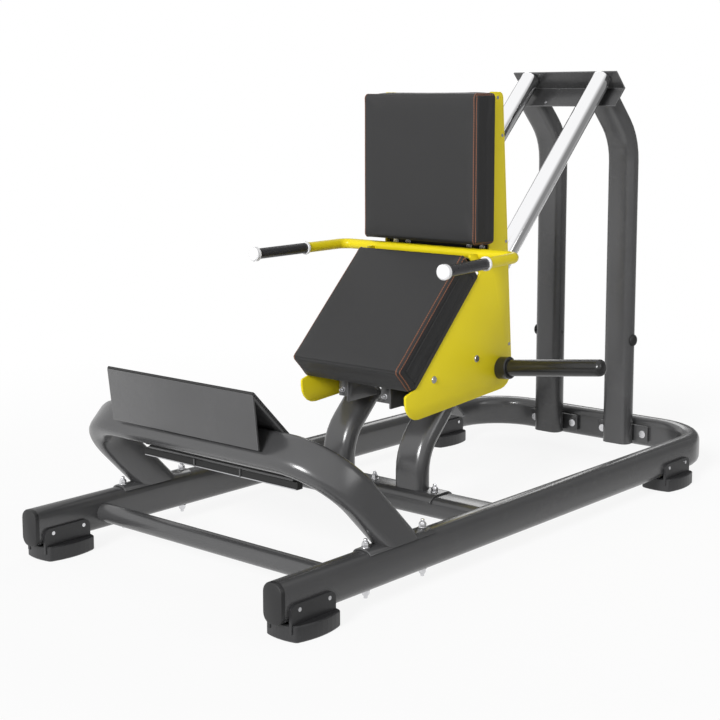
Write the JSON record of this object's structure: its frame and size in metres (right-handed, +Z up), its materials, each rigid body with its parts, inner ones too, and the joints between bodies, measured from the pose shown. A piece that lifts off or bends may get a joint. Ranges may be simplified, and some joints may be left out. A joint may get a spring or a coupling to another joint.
{
  "type": "calf raise machine",
  "caption": "Plate-loaded calf raise machine: a seat carriage with handles and weight horns slides on inclined guide rods above a U-shaped base with an angled foot platform.",
  "frame": {"origin": "middle of the machine's footprint, on the floor", "axes": "+Z up, -Y towards the foot platform end, +X towards the user's left hand as seated"},
  "size_m": [1.1038, 2.103, 1.3087],
  "materials": {
    "grey_paint": "metallic charcoal powder coat",
    "yellow_paint": "satin yellow powder coat",
    "chrome": "polished hard chrome",
    "alloy": "machined",
    "rubber": "moulded matt",
    "upholstery": "matt vinyl with contrast stitching",
    "board": "black stained plywood",
    "white_trim": "satin white",
    "grip_foam": "ribbed soft rubber",
    "black_sleeve": "gloss black",
    "black_trim": "satin black"
  },
  "bodies": {
    "base": {"base_tube": "grey_paint", "front_cross_tube": "grey_paint", "mid_cross_tube": "grey_paint", "mid_saddle": "grey_paint", "platform_arch": "grey_paint", "foot_plate": "grey_paint", "platform_bar": "black_trim", "top_bracket": "grey_paint", "rod_plate": "grey_paint", "rail_cap_right": "rubber", "rail_cap_left": "rubber", "arch_saddle_right": "grey_paint", "arch_saddle_left": "grey_paint", "foot_front_right": "rubber", "foot_front_left": "rubber", "foot_rear_right": "rubber", "foot_rear_left": "rubber", "platform_rib_right": "grey_paint", "platform_rib_left": "grey_paint", "platform_web_right": "grey_paint", "platform_web_left": "grey_paint", "rod_post_right": "grey_paint", "rod_post_left": "grey_paint", "guide_rod_right": "chrome", "guide_rod_left": "chrome", "rubber_stop_right": "rubber", "rubber_stop_left": "rubber", "tower_column_right": "grey_paint", "tower_column_left": "grey_paint", "column_flange_right": "grey_paint", "column_flange_left": "grey_paint", "column_plug_inner_left": "black_trim", "column_plug_inner_right": "black_trim", "column_plug_outer_left": "black_trim", "column_plug_outer_right": "black_trim"},
    "carriage": {"carriage_tube_front": "grey_paint", "carriage_tube_rear": "grey_paint", "seat_pad": "upholstery", "back_pad": "upholstery", "seat_board": "board", "back_board": "board", "handlebar": "yellow_paint", "side_plate_right": "yellow_paint", "side_plate_left": "yellow_paint", "bearing_lower_right": "alloy", "bearing_lower_left": "alloy", "bearing_upper_right": "alloy", "bearing_upper_left": "alloy", "seat_bracket_right": "grey_paint", "seat_bracket_left": "grey_paint", "grip_right": "grip_foam", "grip_left": "grip_foam", "grip_cap_right": "white_trim", "grip_cap_left": "white_trim", "weight_horn_right": "black_sleeve", "weight_horn_left": "black_sleeve", "grip_ring_left": "white_trim", "grip_ring_right": "white_trim"}
  },
  "joints": [
    {"name": "carriage_slide", "type": "slide", "parent": "base", "child": "carriage", "axis": [0, 0.7071, 0.7071], "range_m": [0, 0.78]}
  ]
}
